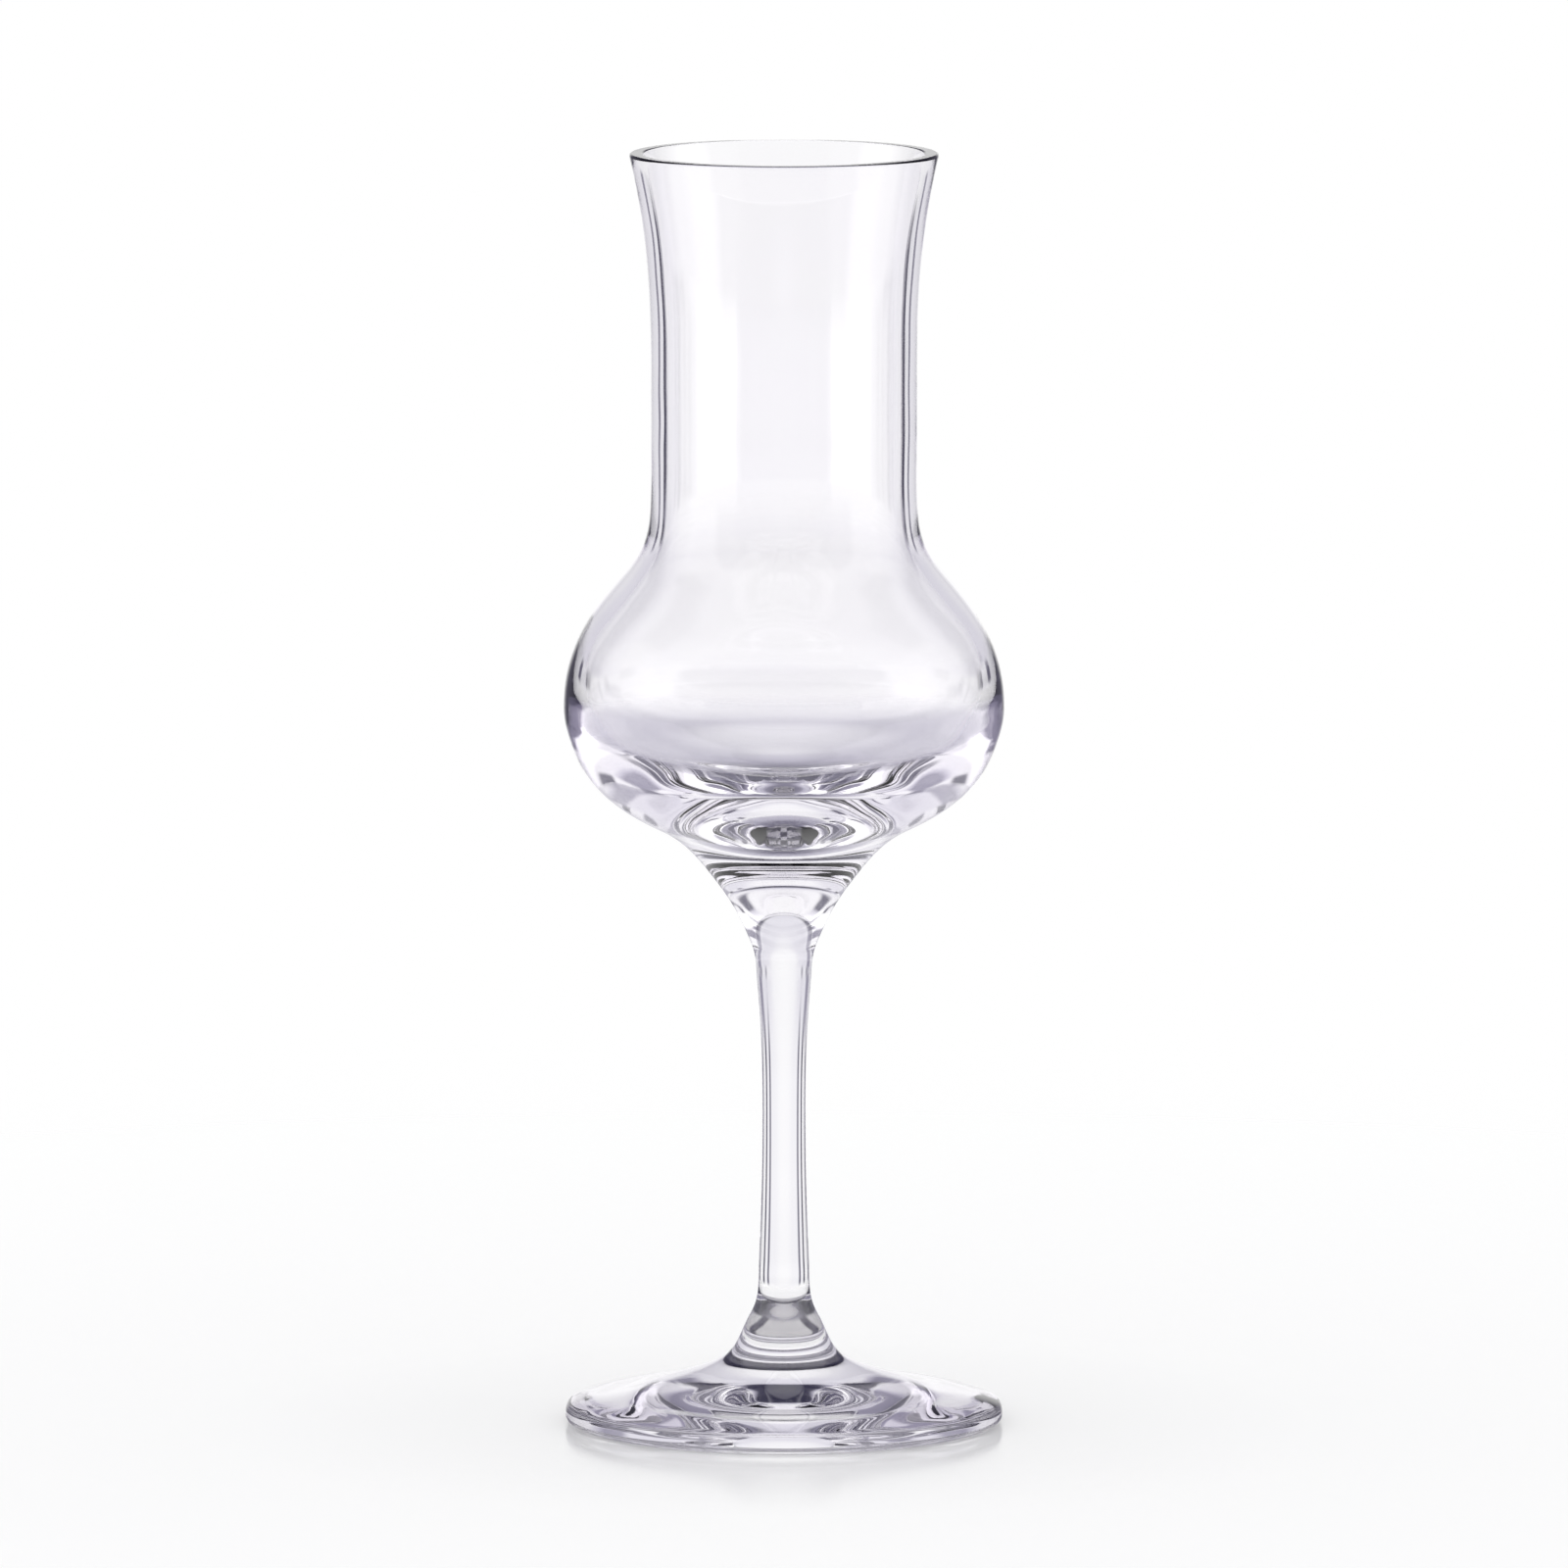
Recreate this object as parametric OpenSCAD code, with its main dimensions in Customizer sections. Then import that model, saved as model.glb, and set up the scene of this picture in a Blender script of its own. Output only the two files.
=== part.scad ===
// Grappa glass: a blown bowl with a bulb and a tall flared chimney, a drawn stem and a round foot.
// The three pieces of clear glass are welded end to end on one upright axis, and the glass stands on z = 0.
// An outline is a row of stations. Each station has a diameter, a height and a lean: the outline's
// angle from upright, positive where it opens outwards on the way up. A rise is the height of a
// station above the one below it.

/* [Main sizes] */
// Height of the foot, from the table to its weld with the stem
foot_h = 15; // [13:0.5:20]
// Length of the stem between its two welds
stem_l = 51; // [42:0.5:90]
// Height of the bowl, from its weld with the stem to the top of the lip
bowl_h = 108.5; // [95:0.1:140]
// Diameter of the foot
foot_d = 60; // [50:0.5:80]
// Diameter of the bulb at its widest line
bulb_d = 60.2; // [50:0.2:76]
// Diameter of the chimney at its narrowest
chimney_d = 36.3; // [34:0.1:40]
// Diameter of the mouth, outside
mouth_d = 42.1; // [38:0.1:50]

/* [Walls] */
// Width of the lip's level top, with its two rounded edges
lip_wall = 1.9; // [1:0.05:2.4]
// Radius of the lip's two rounded edges
lip_round_r = 0.35; // [0.2:0.05:0.45]
// Wall of the chimney
chimney_wall = 2.05; // [1.2:0.05:3]
// Wall at the shoulder
shoulder_wall = 2.4; // [1.4:0.05:3.5]
// Wall at the bulb's widest line
bulb_wall = 2.75; // [1.5:0.05:4]

/* [Cavity] */
// How far the widest line inside lies above the one outside
cavity_lift = 2.4; // [0:0.1:5]
// Solid glass between the weld and the lowest point of the cavity
base_h = 17.2; // [15:0.1:22]
// Diameter of the dip in the cavity's floor, halfway up its slope
dip_d = 25.2; // [18:0.2:30]
// Rise from the lowest point to the middle of the dip's slope
dip_rise = 3.6; // [2:0.1:5]
// Lean of the outline on the dip's slope
dip_lean = 71; // [62:0.5:80]
// How far the floor's edge lies in from the bulb's widest line
floor_edge_inset = 9.5; // [8:0.1:11]
// Rise from the dip's slope to the floor's edge
floor_edge_rise = 3.6; // [2:0.1:5]
// Lean of the outline at the floor's edge, where it turns up into the wall
floor_edge_lean = 63; // [54:0.5:72]

/* [Foot] */
// Rise of the foot's widest line above the table
edge_rise = 1.1; // [0.7:0.1:2]
// How far the rounded lower edge runs in under the foot
edge_inset = 1.1; // [0.6:0.1:2]
// Width of the flat ring that the glass stands on
rest_ring_w = 2.4; // [1:0.1:6]
// Depth of the domed hollow under the foot, at its middle
hollow_h = 1.7; // [0.4:0.1:2.5]
// How far the brow, where the edge turns into the top, lies in from the edge
brow_inset = 0.7; // [0.4:0.1:1.5]
// Rise from the widest line to the brow
brow_rise = 1.7; // [1:0.05:2.5]
// Lean of the outline at the brow
brow_lean = -68; // [-80:1:-50]
// Diameter of the foot's slope halfway to the nozzle
slope_d = 36; // [26:0.5:44]
// Rise from the brow to the middle of the slope
slope_rise = 2.5; // [1.5:0.05:3.5]
// Lean of the outline on the slope
slope_lean = -70; // [-80:1:-55]
// Diameter of the nozzle where it springs from the slope
nozzle_d = 17.7; // [13:0.1:24]
// Rise from the middle of the slope to the nozzle
nozzle_rise = 3.3; // [2:0.1:5]
// Lean of the outline at the nozzle
nozzle_lean = -61; // [-70:1:-45]

/* [Stem and welds] */
// Diameter of the weld between the foot and the stem
foot_weld_d = 9.2; // [8:0.1:12]
// Lean of the outline through the weld on the foot
foot_weld_lean = -30; // [-45:1:-10]
// Diameter of the stem at the top of its lower flare
stem_low_d = 6.9; // [6:0.1:8]
// Rise from the weld on the foot to the top of the lower flare
stem_low_rise = 6.7; // [4:0.1:10]
// Lean of the outline at the top of the lower flare
stem_low_lean = -2.3; // [-6:0.1:0]
// Diameter of the stem at its waist
stem_waist_d = 5.9; // [5:0.1:7]
// Rise from the lower flare to the waist
stem_waist_rise = 21.3; // [12:0.1:26]
// Diameter of the stem where its upper flare begins
stem_high_d = 7.4; // [6:0.1:8.5]
// Height of the upper flare, from where it begins to the weld on the bowl
stem_flare_h = 5; // [3:0.1:8]
// Lean of the outline where the upper flare begins
stem_high_lean = 5; // [0:0.1:10]
// Diameter of the weld between the stem and the bowl
bowl_weld_d = 8.9; // [8.5:0.1:11]
// Lean of the outline through the weld on the bowl
bowl_weld_lean = 22; // [10:1:35]

/* [Bowl] */
// Diameter of the bowl's neck, above the weld
neck_d = 18.6; // [14:0.1:24]
// Rise from the weld to the neck
neck_rise = 8.7; // [6:0.1:12]
// Lean of the outline at the neck
neck_lean = 37.5; // [28:0.5:48]
// Diameter under the bulb, where the outline is flattest
under_d = 34.6; // [28:0.1:42]
// Rise from the neck to the flattest line under the bulb
under_rise = 7.3; // [5:0.1:11]
// Lean of the outline under the bulb
under_lean = 64.5; // [54:0.5:72]
// How far the bulb's lower cheek lies in from its widest line
cheek_inset = 1.05; // [0.6:0.05:2.5]
// Rise from under the bulb to the cheek
cheek_rise = 11.6; // [8:0.1:16]
// Lean of the outline at the cheek
cheek_lean = 18.8; // [10:0.2:28]
// Rise from the cheek to the widest line
bulb_rise = 5.2; // [3:0.1:9]
// Diameter of the shoulder, halfway from the bulb to the chimney
shoulder_d = 42.8; // [39:0.2:48]
// Rise from the widest line to the shoulder
shoulder_rise = 18.6; // [13:0.1:24]
// Lean of the outline at the shoulder
shoulder_lean = -41; // [-50:0.5:-30]
// Diameter of the collar at the foot of the chimney
collar_d = 36.5; // [34:0.1:39]
// Rise from the shoulder to the collar
collar_rise = 8.1; // [6:0.1:12]
// Lean of the outline at the collar
collar_lean = -3.5; // [-8:0.1:0]
// Rise from the collar to the narrowest part of the chimney
chimney_rise = 11; // [6:0.1:18]
// Lean of the outline at the mouth
mouth_lean = 13; // [4:0.5:20]

/* [Hidden] */

// Lean of an outline that runs straight up, and of one that runs level
upright = 0;
level = 90;
// Share of the distance between two stations that each handle of the curve reaches
handle_share = 0.38;
// Points along each stretch of curve, and along each rounded edge of the lip
curve_steps = 10;
lip_steps = 6;
$fn = 128;

glass_colour = [0.90, 0.90, 0.94, 0.45];

// Heights of the two welds and of the lip's top
foot_weld_z = foot_h;
bowl_weld_z = foot_h + stem_l;
lip_z = bowl_weld_z + bowl_h;

// Stations of the outer outline, from the table up: [radius, height, lean]
edge_low = [foot_d / 2 - edge_inset, 0, level];
edge = [foot_d / 2, edge_rise, upright];
brow = [foot_d / 2 - brow_inset, edge[1] + brow_rise, brow_lean];
slope = [slope_d / 2, brow[1] + slope_rise, slope_lean];
nozzle = [nozzle_d / 2, slope[1] + nozzle_rise, nozzle_lean];
foot_weld = [foot_weld_d / 2, foot_weld_z, foot_weld_lean];
stem_low = [stem_low_d / 2, foot_weld[1] + stem_low_rise, stem_low_lean];
stem_waist = [stem_waist_d / 2, stem_low[1] + stem_waist_rise, upright];
stem_high = [stem_high_d / 2, bowl_weld_z - stem_flare_h, stem_high_lean];
bowl_weld = [bowl_weld_d / 2, bowl_weld_z, bowl_weld_lean];
neck = [neck_d / 2, bowl_weld[1] + neck_rise, neck_lean];
under = [under_d / 2, neck[1] + under_rise, under_lean];
cheek = [bulb_d / 2 - cheek_inset, under[1] + cheek_rise, cheek_lean];
bulb = [bulb_d / 2, cheek[1] + bulb_rise, upright];
shoulder = [shoulder_d / 2, bulb[1] + shoulder_rise, shoulder_lean];
collar = [collar_d / 2, shoulder[1] + collar_rise, collar_lean];
chimney = [chimney_d / 2, collar[1] + chimney_rise, upright];
mouth = [mouth_d / 2, lip_z - lip_round_r * (1 + sin(mouth_lean)), mouth_lean];

// Stations of the hollow in the bowl and of the one under the foot
cavity_floor = [0, bowl_weld_z + base_h, level];
dip = [dip_d / 2, cavity_floor[1] + dip_rise, dip_lean];
floor_edge = [bulb_d / 2 - floor_edge_inset, dip[1] + floor_edge_rise, floor_edge_lean];
cavity = inset([bulb[0], bulb[1] + cavity_lift, upright], bulb_wall);
mouth_in = [mouth[0] - lip_wall, lip_z - lip_round_r * (1 - sin(mouth_lean)), mouth_lean];
hollow_top = [0, hollow_h, level];
hollow_r = edge_low[0] - rest_ring_w;
hollow_edge = [hollow_r, 0, level + 2 * atan(hollow_h / hollow_r)];

// A station's place, and the way its outline runs there
function place(station) = [station[0], station[1]];
function heading(station) = [sin(station[2]), cos(station[2])];

// The station on the inside of a wall
function inset(station, wall) =
    [station[0] - wall * cos(station[2]), station[1] + wall * sin(station[2]), station[2]];

// One cubic curve from station a to station b, without its last point
function stretch(a, b) =
    let (reach = handle_share * norm(place(b) - place(a)))
    let (leave = place(a) + reach * heading(a), arrive = place(b) - reach * heading(b))
    [for (i = [0 : curve_steps - 1])
        let (t = i / curve_steps, s = 1 - t)
        s * s * s * place(a) + 3 * s * s * t * leave + 3 * s * t * t * arrive + t * t * t * place(b)];

// A smooth outline through a row of stations
function outline(stations) =
    [for (i = [0 : len(stations) - 2]) each stretch(stations[i], stations[i + 1]),
     place(stations[len(stations) - 1])];

// One rounded edge of the lip, from one angle to another round its middle, without both ends
function lip_edge(middle, start, end) =
    [for (i = [1 : lip_steps - 1])
        let (turn = start + (end - start) * i / lip_steps)
        middle + lip_round_r * [cos(turn), sin(turn)]];

// The level top of the lip between its rounded edges
function lip_top() =
    let (across = lip_round_r * [cos(mouth_lean), -sin(mouth_lean)])
    let (outer = place(mouth) - across, inner = place(mouth_in) + across)
    [each lip_edge(outer, -mouth_lean, 90), [outer[0], lip_z],
     [inner[0], lip_z], each lip_edge(inner, 90, 180 - mouth_lean)];

function backwards(points) = [for (i = [len(points) - 1 : -1 : 0]) points[i]];

// The blown bowl: bulb, chimney and the solid base that runs down to the weld
module bowl() {
    outside = outline([bowl_weld, neck, under, cheek, bulb, shoulder, collar, chimney, mouth]);
    inside = outline([cavity_floor, dip, floor_edge, cavity, inset(shoulder, shoulder_wall),
                      inset(collar, chimney_wall), inset(chimney, chimney_wall), mouth_in]);
    color(glass_colour)
        rotate_extrude()
            polygon(concat([[0, bowl_weld_z]], outside, lip_top(), backwards(inside)));
}

// The drawn stem, with a flat weld face at each end
module stem() {
    side = outline([foot_weld, stem_low, stem_waist, stem_high, bowl_weld]);
    color(glass_colour)
        rotate_extrude()
            polygon(concat([[0, foot_weld_z]], side, [[0, bowl_weld_z]]));
}

// The foot: hollow underneath, a flat rest ring, a rounded edge, and a slope up to the nozzle
module foot() {
    underside = outline([hollow_top, hollow_edge]);
    topside = outline([edge_low, edge, brow, slope, nozzle, foot_weld]);
    color(glass_colour)
        rotate_extrude()
            polygon(concat(underside, topside, [[0, foot_weld_z]]));
}

bowl();
stem();
foot();
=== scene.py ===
import math

import bpy
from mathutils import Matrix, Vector


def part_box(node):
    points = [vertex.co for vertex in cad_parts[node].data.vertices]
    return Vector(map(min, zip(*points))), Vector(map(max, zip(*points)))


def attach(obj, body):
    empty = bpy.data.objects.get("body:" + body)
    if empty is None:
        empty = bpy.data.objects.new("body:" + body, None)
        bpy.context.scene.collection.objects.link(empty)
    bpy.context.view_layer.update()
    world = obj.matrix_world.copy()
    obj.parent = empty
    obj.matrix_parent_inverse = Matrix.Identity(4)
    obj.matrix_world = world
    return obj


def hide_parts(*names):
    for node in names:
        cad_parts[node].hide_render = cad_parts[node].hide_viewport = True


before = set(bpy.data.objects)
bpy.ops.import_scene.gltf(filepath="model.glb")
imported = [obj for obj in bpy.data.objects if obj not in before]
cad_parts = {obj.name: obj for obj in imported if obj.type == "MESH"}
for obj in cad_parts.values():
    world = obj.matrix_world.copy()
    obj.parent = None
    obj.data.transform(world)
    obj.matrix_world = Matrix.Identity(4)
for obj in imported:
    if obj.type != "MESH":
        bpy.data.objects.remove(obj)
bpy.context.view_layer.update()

# Grappa glass: a blown bowl, a drawn stem and a foot of clear glass, welded end to end on one axis.
# Lengths are in millimetres, as on a glassmaker's drawing, and MM turns them into metres.
MM = 0.001

# The frame gives the main sizes: the foot's radius, the two welds, the bulb's radius and the lip's top.
FOOT_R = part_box("foot")[1].x / MM
FOOT_WELD_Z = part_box("stem")[0].z / MM
BOWL_WELD_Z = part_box("stem")[1].z / MM
BULB_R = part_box("bowl")[1].x / MM
LIP_TOP_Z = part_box("bowl")[1].z / MM

# The foot's rounded edge, and the shallow hollow inside the flat ring that it stands on
EDGE_ROUND = 1.1
REST_RING_W = 2.4
HOLLOW_H = 1.7
HOLLOW_R = FOOT_R - EDGE_ROUND - REST_RING_W
HOLLOW_LEAN = math.degrees(2 * math.atan(HOLLOW_H / HOLLOW_R))

# Walls of the blown bowl
LIP_WALL = 1.9
CHIMNEY_WALL = 2.05
SHOULDER_WALL = 2.4
BULB_WALL = 2.75

# The lip is cut level, and its two edges are rounded by the flame.
MOUTH_R = 21.05
MOUTH_LEAN = 13
MOUTH_TILT = math.sin(math.radians(MOUTH_LEAN))
LIP_ROUND = 0.35
LIP_ROUND_ACROSS = LIP_ROUND * math.cos(math.radians(MOUTH_LEAN))

# Stations of the half section: radius, height and lean. Lean is the angle of the outline from upright,
# in degrees, positive where it opens outwards on the way up.
OUTWARDS = 90
INWARDS = -90
DOWN = 180


def inside(station, wall):
    """The station on the inner face of a wall, with the outline running down."""
    radius, height, lean = station
    turn = math.radians(lean)
    return (radius - wall * math.cos(turn), height + wall * math.sin(turn), lean + DOWN)


HOLLOW_TOP = (0, HOLLOW_H, OUTWARDS)
HOLLOW_EDGE = (HOLLOW_R, 0, OUTWARDS + HOLLOW_LEAN)
REST_RING = (HOLLOW_R, 0, OUTWARDS)
EDGE_LOW = (FOOT_R - EDGE_ROUND, 0, OUTWARDS)
EDGE = (FOOT_R, EDGE_ROUND, 0)
BROW = (FOOT_R - 0.7, 2.8, -68)
SLOPE = (18, 5.3, -70)
NOZZLE = (8.85, 8.6, -61)
FOOT_WELD = (4.6, FOOT_WELD_Z, -30)

STEM_LOW = (3.45, FOOT_WELD_Z + 6.7, -2.3)
STEM_WAIST = (2.95, FOOT_WELD_Z + 28, 0)
STEM_HIGH = (3.7, BOWL_WELD_Z - 5, 5)
BOWL_WELD = (4.45, BOWL_WELD_Z, 22)

NECK = (9.3, BOWL_WELD_Z + 8.7, 37.5)
UNDER = (17.3, BOWL_WELD_Z + 16, 64.5)
CHEEK = (BULB_R - 1.05, BOWL_WELD_Z + 27.6, 18.8)
BULB = (BULB_R, BOWL_WELD_Z + 32.8, 0)
SHOULDER = (21.4, BOWL_WELD_Z + 51.4, -41)
COLLAR = (18.25, BOWL_WELD_Z + 59.5, -3.5)
CHIMNEY = (18.15, BOWL_WELD_Z + 70.5, 0)
MOUTH = (MOUTH_R, LIP_TOP_Z - LIP_ROUND * (1 + MOUTH_TILT), MOUTH_LEAN)
LIP_OUTER = (MOUTH_R - LIP_ROUND_ACROSS, LIP_TOP_Z, INWARDS)
LIP_INNER = (MOUTH_R - LIP_WALL + LIP_ROUND_ACROSS, LIP_TOP_Z, INWARDS)

MOUTH_IN = (MOUTH_R - LIP_WALL, LIP_TOP_Z - LIP_ROUND * (1 - MOUTH_TILT), MOUTH_LEAN + DOWN)
CHIMNEY_IN = inside(CHIMNEY, CHIMNEY_WALL)
COLLAR_IN = inside(COLLAR, CHIMNEY_WALL)
SHOULDER_IN = inside(SHOULDER, SHOULDER_WALL)
CAVITY = (BULB_R - BULB_WALL, BOWL_WELD_Z + 35.2, DOWN)
FLOOR_EDGE = (BULB_R - 9.5, BOWL_WELD_Z + 24.4, DOWN + 63)
DIP = (12.6, BOWL_WELD_Z + 20.8, DOWN + 71)
CAVITY_FLOOR = (0, BOWL_WELD_Z + 17.2, DOWN + 90)

# How the outline is drawn and turned on the lathe
HANDLE_SHARE = 0.38
CURVE_STEPS = 18
TURN_STEPS = 256
MERGE_DISTANCE = 0.001 * MM
SHARP_ANGLE = math.radians(40)
WELD_SLOT = 1


def draw_half_section(name, stations):
    """Draws a half section as one smooth curve through its stations, and makes it a row of edges."""
    bpy.ops.object.select_all(action="DESELECT")
    bpy.ops.curve.primitive_bezier_curve_add(location=(0, 0, 0))
    section = bpy.context.object
    section.name = name
    section.data.name = name
    spline = section.data.splines[0]
    spline.resolution_u = CURVE_STEPS
    points = spline.bezier_points
    points.add(len(stations) - len(points))
    places = [Vector((radius, 0, height)) * MM for radius, height, _ in stations]
    gaps = [(b - a).length for a, b in zip(places, places[1:])]
    for i, (point, place) in enumerate(zip(points, places)):
        turn = math.radians(stations[i][2])
        heading = Vector((math.sin(turn), 0, math.cos(turn))) * HANDLE_SHARE
        point.handle_left_type = "FREE"
        point.handle_right_type = "FREE"
        point.co = place
        point.handle_left = place - heading * gaps[max(i - 1, 0)]
        point.handle_right = place + heading * gaps[min(i, len(gaps) - 1)]
    bpy.ops.object.convert(target="MESH")
    return bpy.context.object


def turn_on_lathe(name, stations, glass, weld):
    """Turns a half section all round the axis and closes its welds with flat faces."""
    piece = draw_half_section(name, stations)
    piece.data.materials.append(glass)
    piece.data.materials.append(weld)
    bpy.ops.object.mode_set(mode="EDIT")
    bpy.ops.mesh.select_all(action="SELECT")
    bpy.ops.mesh.spin(steps=TURN_STEPS, angle=math.tau, center=(0, 0, 0), axis=(0, 0, 1))
    bpy.ops.mesh.select_all(action="SELECT")
    bpy.ops.mesh.remove_doubles(threshold=MERGE_DISTANCE)
    bpy.ops.mesh.select_mode(type="EDGE")
    bpy.ops.mesh.select_all(action="DESELECT")
    bpy.ops.mesh.select_non_manifold(
        extend=False, use_wire=False, use_boundary=True, use_multi_face=False,
        use_non_contiguous=False, use_verts=False)
    bpy.ops.mesh.fill_holes(sides=0)
    bpy.ops.mesh.select_mode(type="FACE")
    bpy.ops.object.mode_set(mode="OBJECT")
    for face in piece.data.polygons:
        if len(face.vertices) == TURN_STEPS:
            face.material_index = WELD_SLOT
    bpy.ops.object.mode_set(mode="EDIT")
    bpy.ops.mesh.select_all(action="SELECT")
    bpy.ops.mesh.normals_make_consistent(inside=False)
    bpy.ops.object.mode_set(mode="OBJECT")
    bpy.ops.object.shade_smooth_by_angle(angle=SHARP_ANGLE)
    return piece


# Blown glass is never quite even: its face has slow, shallow waves, and its faint violet tint drifts
# with them.
GLASS_INDEX = 1.52
WAVE_LENGTH = 14
WAVE_HEIGHT = 0.1
WAVE_DETAIL = 1
TINT_THIN = (0.998, 0.996, 1, 1)
TINT_DEEP = (0.994, 0.989, 1, 1)


def new_material(name):
    """An empty material and its node tree."""
    material = bpy.data.materials.new(name)
    material.use_nodes = True
    material.node_tree.nodes.clear()
    return material, material.node_tree


def clear_glass(name):
    """Clear, fire polished glass."""
    material, tree = new_material(name)
    place = tree.nodes.new("ShaderNodeTexCoord")
    waves = tree.nodes.new("ShaderNodeTexNoise")
    waves.inputs["Scale"].default_value = 1 / (WAVE_LENGTH * MM)
    waves.inputs["Detail"].default_value = WAVE_DETAIL
    tree.links.new(place.outputs["Object"], waves.inputs["Vector"])
    tint = tree.nodes.new("ShaderNodeValToRGB")
    tint.color_ramp.elements[0].color = TINT_THIN
    tint.color_ramp.elements[1].color = TINT_DEEP
    tree.links.new(waves.outputs["Fac"], tint.inputs["Fac"])
    relief = tree.nodes.new("ShaderNodeBump")
    relief.inputs["Distance"].default_value = WAVE_HEIGHT * MM
    tree.links.new(waves.outputs["Fac"], relief.inputs["Height"])
    shader = tree.nodes.new("ShaderNodeBsdfGlass")
    shader.inputs["Roughness"].default_value = 0
    shader.inputs["IOR"].default_value = GLASS_INDEX
    tree.links.new(tint.outputs["Color"], shader.inputs["Color"])
    tree.links.new(relief.outputs["Normal"], shader.inputs["Normal"])
    output = tree.nodes.new("ShaderNodeOutputMaterial")
    tree.links.new(shader.outputs[0], output.inputs["Surface"])
    return material


def fused_weld(name):
    """The seam inside a weld, where two gathers have run into one and light passes straight on."""
    material, tree = new_material(name)
    shader = tree.nodes.new("ShaderNodeBsdfTransparent")
    output = tree.nodes.new("ShaderNodeOutputMaterial")
    tree.links.new(shader.outputs[0], output.inputs["Surface"])
    return material


WELD = fused_weld("fused_weld")
PIECES = {
    "bowl": (BOWL_WELD, NECK, UNDER, CHEEK, BULB, SHOULDER, COLLAR, CHIMNEY, MOUTH, LIP_OUTER, LIP_INNER,
             MOUTH_IN, CHIMNEY_IN, COLLAR_IN, SHOULDER_IN, CAVITY, FLOOR_EDGE, DIP, CAVITY_FLOOR),
    "stem": (FOOT_WELD, STEM_LOW, STEM_WAIST, STEM_HIGH, BOWL_WELD),
    "foot": (HOLLOW_TOP, HOLLOW_EDGE, REST_RING, EDGE_LOW, EDGE, BROW, SLOPE, NOZZLE, FOOT_WELD),
}
for node, stations in PIECES.items():
    glass = clear_glass(f"{node}_clear_glass")
    piece = turn_on_lathe(f"turned_{node}", stations, glass, WELD)
    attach(piece, "root")
    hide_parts(node)

# Shade in the studio is a little violet: the share of red and blue that it has more than green,
# and the blue that is left where it is black.
SHADE_RED = 0.06
SHADE_BLUE = 0.3
BLACK_BLUE = 0.02
WHITE = (1, 1, 1, 1)


def feed(tree, value, socket):
    """Links a socket to another node's output, or sets it to a plain number or colour."""
    if isinstance(value, bpy.types.NodeSocket):
        tree.links.new(value, socket)
    else:
        socket.default_value = value


def math_node(tree, operation, *values):
    """One step of arithmetic on numbers and on other nodes' outputs."""
    node = tree.nodes.new("ShaderNodeMath")
    node.operation = operation
    for value, socket in zip(values, node.inputs):
        feed(tree, value, socket)
    return node.outputs[0]


def fade_between(tree, value, start, end):
    """Rises softly from 0 to 1 between two values."""
    node = tree.nodes.new("ShaderNodeMapRange")
    node.interpolation_type = "SMOOTHSTEP"
    node.inputs["From Min"].default_value = start
    node.inputs["From Max"].default_value = end
    tree.links.new(value, node.inputs["Value"])
    return node.outputs["Result"]


def ramp(tree, value, levels):
    """Levels of light along a distance or an angle, from 0 to the last place in the row."""
    span = levels[-1][0]
    node = tree.nodes.new("ShaderNodeValToRGB")
    tree.links.new(math_node(tree, "DIVIDE", value, span), node.inputs["Fac"])
    stops = node.color_ramp.elements
    for place, _ in levels[1:-1]:
        stops.new(place / span)
    for stop, (_, level) in zip(stops, levels):
        shade = max(0, 1 - level)
        red = level * (1 + SHADE_RED * shade)
        blue = level * (1 + SHADE_BLUE * shade) + BLACK_BLUE * shade
        stop.color = (red, level, blue, 1)
    return node.outputs["Color"]


def blend(tree, share, first, second):
    """Goes from the first colour to the second as the share goes from 0 to 1."""
    node = tree.nodes.new("ShaderNodeMix")
    node.data_type = "RGBA"
    feed(tree, share, node.inputs["Factor"])
    feed(tree, first, node.inputs["A"])
    feed(tree, second, node.inputs["B"])
    return node.outputs["Result"]


def mix_shaders(tree, share, first, second):
    """Goes from the first shader to the second as the share goes from 0 to 1."""
    node = tree.nodes.new("ShaderNodeMixShader")
    tree.links.new(share, node.inputs["Fac"])
    tree.links.new(first, node.inputs[1])
    tree.links.new(second, node.inputs[2])
    return node.outputs[0]


# The floor: a pale sheet that is glossy round the foot, matt farther out, and fades into the white of
# the studio. Pairs such as GLOSS_TO are the distances between which something sets in or dies away.
FLOOR_R = 600
FLOOR_SIDES = 96
FLOOR_DROP = 0.05
FLOOR_PALE = (0.985, 0.985, 0.99, 1)
FLOOR_ROUGHNESS = 0.15
GLOSS_TO = (28, 84)
FLOOR_FADE = (100, 400)

# Seen through this many faces of glass or more, the floor is painted with light and shade that stand in for
# what the foot throws on it, as pairs of distance and level: painted shadow and caustic rings round the axis,
# and painted streaks behind it, by the distance to the side.
PAINTED_FROM_FACE = 3
FLOOR_PAINTED_RINGS = ((0, 0.6), (4, 0.6), (5.5, 0.04), (21, 0.06), (24, 0.95), (29, 0.95), (31, 0.15), (36, 0.15),
               (44, 0.2), (60, 0.2), (106, 0.45), (160, 0.5), (200, 0.5), (260, 0.8), (FLOOR_R, 0.95))
FLOOR_PAINTED_STREAKS = ((0, 1), (3, 1), (3.4, 0.15), (4.6, 0.15), (5.2, 1), (6.8, 1), (7.4, 0.7), (16, 0.7))
PAINTED_STREAKS_FROM = (0, 2)
PAINTED_STREAKS_TO = (14, 16)

# Where light out of the glass runs along the floor, the floor turns clear and shows the studio below it: a
# painted sheen that stands in for the studio's reflection. 0 is straight down on the floor, and 1 is along
# it.
FLOOR_PAINTED_SHEEN = (0.66, 0.78)


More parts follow.
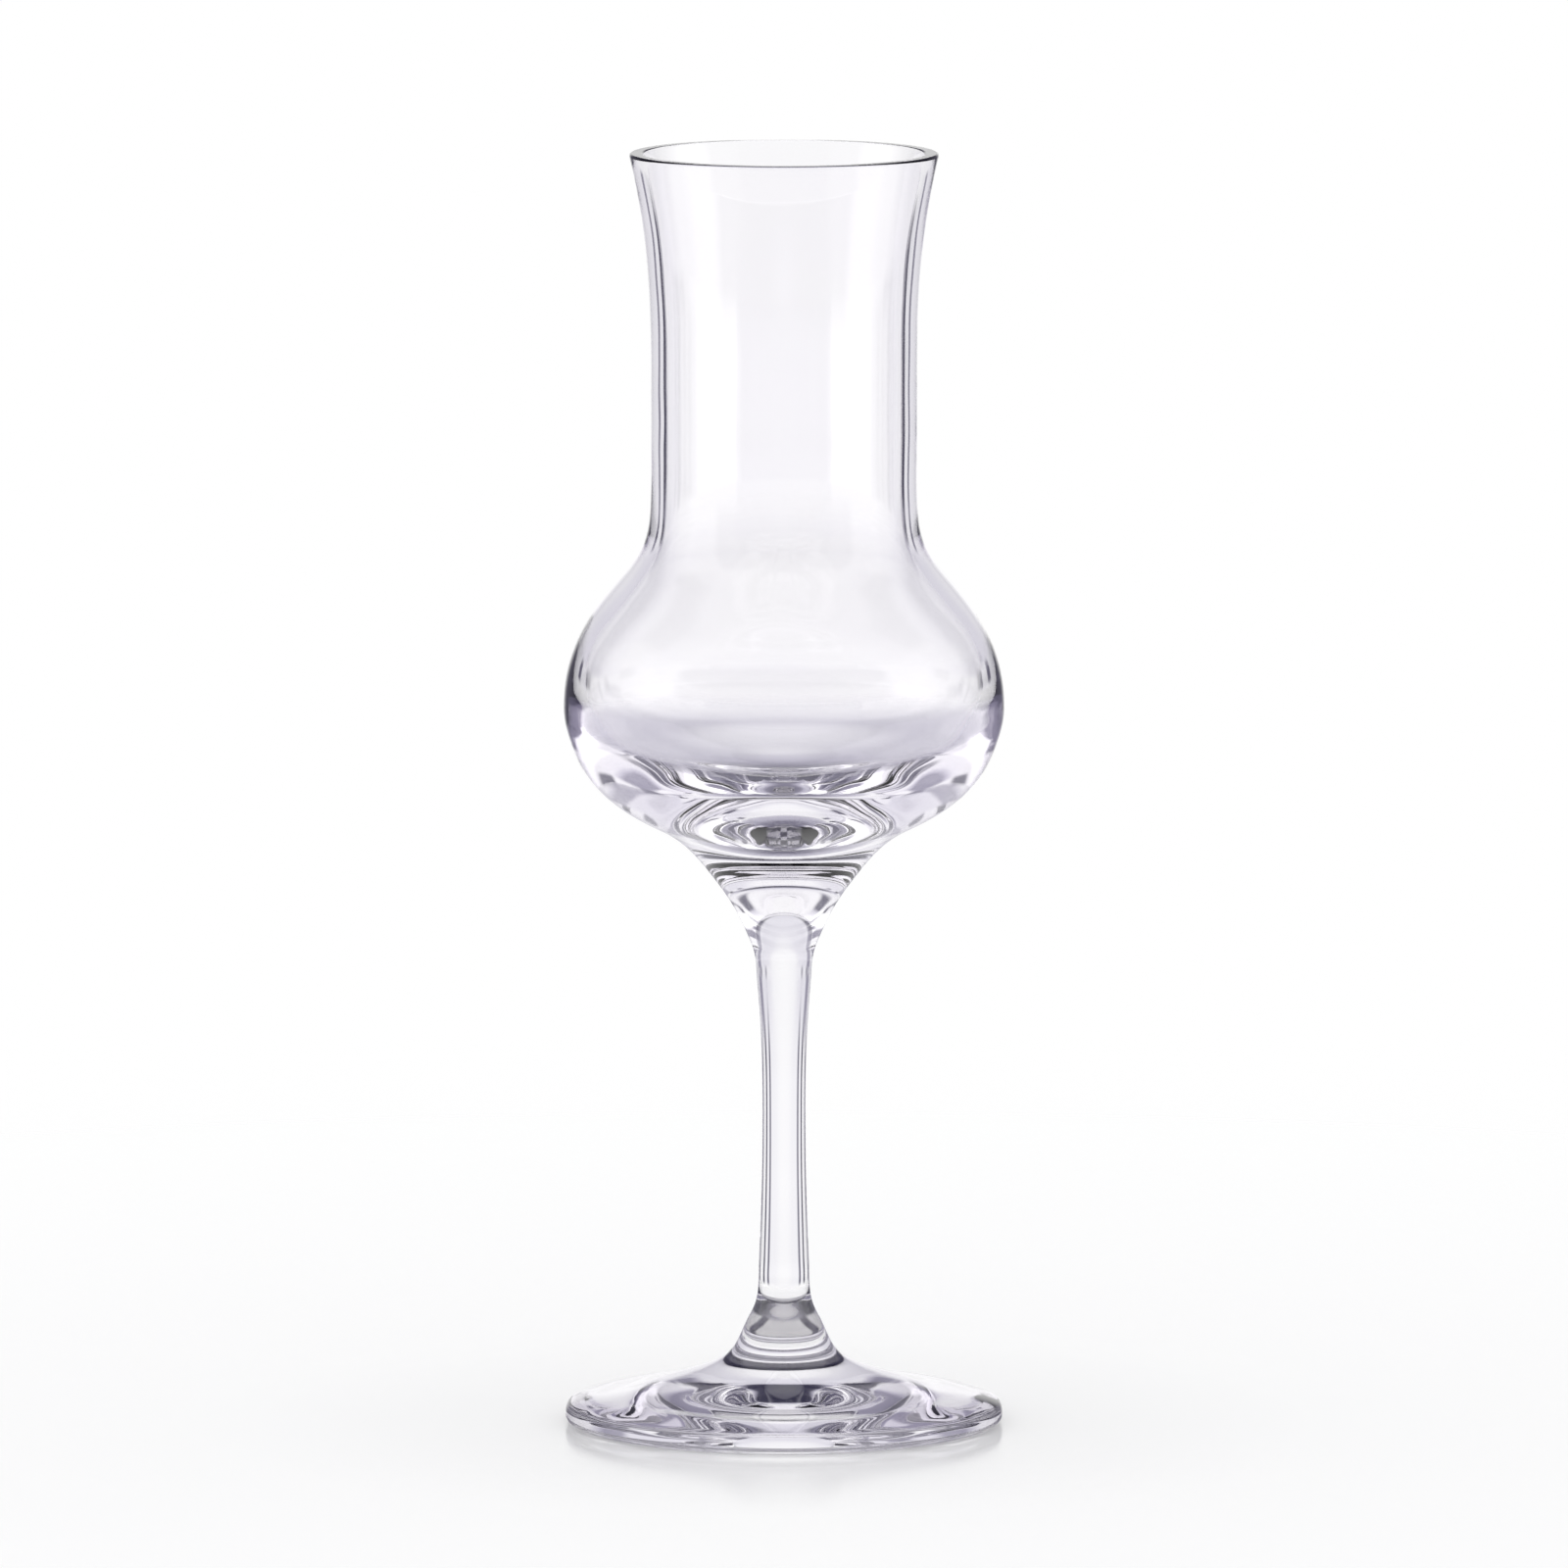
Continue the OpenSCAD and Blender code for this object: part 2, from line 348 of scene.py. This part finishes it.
def pale_floor(name):
    """The floor's sheet, with painted light and shade for what the foot throws on it, a painted sheen, its
    gloss and its fade into the studio.
    """
    material, tree = new_material(name)
    place = tree.nodes.new("ShaderNodeTexCoord")
    in_mm = tree.nodes.new("ShaderNodeVectorMath")
    in_mm.operation = "SCALE"
    in_mm.inputs["Scale"].default_value = 1 / MM
    tree.links.new(place.outputs["Object"], in_mm.inputs[0])
    length = tree.nodes.new("ShaderNodeVectorMath")
    length.operation = "LENGTH"
    tree.links.new(in_mm.outputs[0], length.inputs[0])
    away = length.outputs["Value"]
    parts = tree.nodes.new("ShaderNodeSeparateXYZ")
    tree.links.new(in_mm.outputs[0], parts.inputs[0])

    # Painted shadow and painted caustic light: rings and streaks of light and shade in the floor's colour,
    # shown only to glass rays.
    rings = ramp(tree, away, FLOOR_PAINTED_RINGS)
    streaks = ramp(tree, math_node(tree, "ABSOLUTE", parts.outputs["X"]), FLOOR_PAINTED_STREAKS)
    behind = fade_between(tree, parts.outputs["Y"], *PAINTED_STREAKS_FROM)
    near = math_node(tree, "SUBTRACT", 1, fade_between(tree, away, *PAINTED_STREAKS_TO))
    painted_light_and_shade = blend(tree, math_node(tree, "MULTIPLY", behind, near), rings, streaks)

    rays = tree.nodes.new("ShaderNodeLightPath")
    glass_ray = math_node(tree, "MAXIMUM", rays.outputs["Is Transmission Ray"], rays.outputs["Is Glossy Ray"])
    deep = math_node(tree, "GREATER_THAN", rays.outputs["Ray Depth"], PAINTED_FROM_FACE - 1)
    tone = blend(tree, math_node(tree, "MULTIPLY", glass_ray, deep), FLOOR_PALE, painted_light_and_shade)
    glossy = tree.nodes.new("ShaderNodeBsdfPrincipled")
    glossy.inputs["Roughness"].default_value = FLOOR_ROUGHNESS
    tree.links.new(tone, glossy.inputs["Base Color"])
    matt = tree.nodes.new("ShaderNodeBsdfDiffuse")
    tree.links.new(tone, matt.inputs["Color"])
    dull = math_node(tree, "MAXIMUM", fade_between(tree, away, *GLOSS_TO), glass_ray)
    sheet = mix_shaders(tree, dull, glossy.outputs[0], matt.outputs[0])

    # Painted sheen: glass rays at a slant pass through the floor to the studio, in place of a reflection.
    slant = tree.nodes.new("ShaderNodeLayerWeight")
    painted_sheen = math_node(tree, "MULTIPLY", fade_between(tree, slant.outputs["Facing"], *FLOOR_PAINTED_SHEEN), glass_ray)
    clear = tree.nodes.new("ShaderNodeBsdfTransparent")
    gone = math_node(tree, "MAXIMUM", fade_between(tree, away, *FLOOR_FADE), painted_sheen)
    output = tree.nodes.new("ShaderNodeOutputMaterial")
    tree.links.new(mix_shaders(tree, gone, sheet, clear.outputs[0]), output.inputs["Surface"])
    return material


bpy.ops.object.select_all(action="DESELECT")
bpy.ops.mesh.primitive_circle_add(
    vertices=FLOOR_SIDES, radius=FLOOR_R * MM, fill_type="NGON", location=(0, 0, -FLOOR_DROP * MM))
floor = bpy.context.object
floor.name = "floor"
floor.data.materials.append(pale_floor("pale_floor"))

# The studio that the glass shows: a round white backdrop with a dark ring round it, soft boxes at the sides
# with dark gaps beside them, and a dim room in front. A row takes over from the one before it between two
# heights, and gives levels of light by the angle off the middle of the backdrop, all in degrees. Below the
# first row it is white. What the glass lets through and what its faces mirror have rows of their own.
SEEN_THROUGH = (
    ((-14, -11), ((0, 1), (7, 1), (12, 0.98), (18, 0.92), (28, 0.9), (29, 0.15), (32.5, 0.15), (33.5, 0.9),
                  (40, 0.9), (41, 0.05), (46, 0.05), (47, 0.9), (50, 1), (61, 1), (65, 0.1), (76, 0.1),
                  (80, 1), (86, 1.5), (133.5, 1.5), (135.5, 0.6), (180, 0.6))),
    ((-6, -1), ((0, 1), (16, 0.95), (24, 0.8), (36, 0.75), (42, 0.8), (44.5, 0.36), (53, 0.32), (57, 0.6),
                (62, 0.9), (80, 1), (88, 1.5), (112, 1.5), (118, 0.3), (136, 0.2), (140, 0.1), (165, 0.1),
                (180, 0.4))),
    ((28, 40), ((0, 0.8), (34, 0.75), (40, 0.7), (43, 0.05), (46, 0.03), (54, 0.03), (58, 0.5), (64, 1),
                (68, 0.9), (74, 0.1), (86, 0.1), (92, 0.7), (110, 1.3), (130, 1), (145, 0.5), (180, 0.5))),
    ((52, 60), ((0, 0.03), (54, 0.03), (58, 0.5), (66, 0.9), (74, 1), (90, 1), (180, 0.9))),
)
MIRRORED = (
    ((-60, -50), ((0, 1), (10, 1), (20, 0.2), (40, 0.2), (44, 0.05), (62, 0.05), (72, 0.6), (80, 1),
                  (136.5, 1), (138, 0.8), (180, 0.8))),
    ((9, 16), ((0, 0.2), (12, 0.2), (20, 0.15), (40, 0.15), (44, 0.05), (62, 0.05), (72, 0.6), (80, 1),
               (136.5, 1), (138, 0.8), (180, 0.8))),
    ((40, 50), ((0, 0.1), (50, 0.1), (60, 0.8), (80, 1), (180, 1))),
)


def light_tent():
    """The white studio all round. Only light out of the glass shows its rows, so the floor is lit plainly."""
    world = bpy.data.worlds.new("light_tent")
    bpy.context.scene.world = world
    world.use_nodes = True
    tree = world.node_tree
    tree.nodes.clear()
    place = tree.nodes.new("ShaderNodeTexCoord")
    parts = tree.nodes.new("ShaderNodeSeparateXYZ")
    tree.links.new(place.outputs["Generated"], parts.inputs[0])
    off_back = math_node(tree, "DEGREES", math_node(tree, "ARCCOSINE", parts.outputs["Y"]))
    height = math_node(tree, "DEGREES", math_node(tree, "ARCSINE", parts.outputs["Z"]))
    rays = tree.nodes.new("ShaderNodeLightPath")
    off_floor = math_node(tree, "LESS_THAN", rays.outputs["Diffuse Depth"], 1)
    plain = tree.nodes.new("ShaderNodeBackground")
    plain.inputs["Color"].default_value = WHITE
    shader = plain.outputs[0]
    for rows, flag in ((MIRRORED, "Is Glossy Ray"), (SEEN_THROUGH, "Is Transmission Ray")):
        level = WHITE
        for (start, end), levels in rows:
            taken_over = fade_between(tree, height, start, end)
            level = blend(tree, taken_over, level, ramp(tree, off_back, levels))
        wall = tree.nodes.new("ShaderNodeBackground")
        tree.links.new(level, wall.inputs["Color"])
        shown = math_node(tree, "MULTIPLY", rays.outputs[flag], off_floor)
        shader = mix_shaders(tree, shown, shader, wall.outputs[0])
    output = tree.nodes.new("ShaderNodeOutputWorld")
    tree.links.new(shader, output.inputs["Surface"])


light_tent()

# The camera: well back with a long lens, and a little above the glass
CAMERA_BACK = 2560
CAMERA_HEIGHT = 405.2
AIM_HEIGHT = 88
LENS = 433.6
CAMERA_DIP = math.atan2(CAMERA_HEIGHT - AIM_HEIGHT, CAMERA_BACK)
bpy.ops.object.camera_add(
    location=(0, -CAMERA_BACK * MM, CAMERA_HEIGHT * MM), rotation=(math.pi / 2 - CAMERA_DIP, 0, 0))
camera = bpy.context.object
camera.data.lens = LENS
bpy.context.scene.camera = camera

# How many faces of glass, and how many clear seams, light may meet on its way
GLASS_FACES = 14
CLEAR_SEAMS = 32
scene = bpy.context.scene
scene.view_settings.view_transform = "Standard"
scene.cycles.max_bounces = GLASS_FACES
scene.cycles.glossy_bounces = GLASS_FACES
scene.cycles.transmission_bounces = GLASS_FACES
scene.cycles.transparent_max_bounces = CLEAR_SEAMS
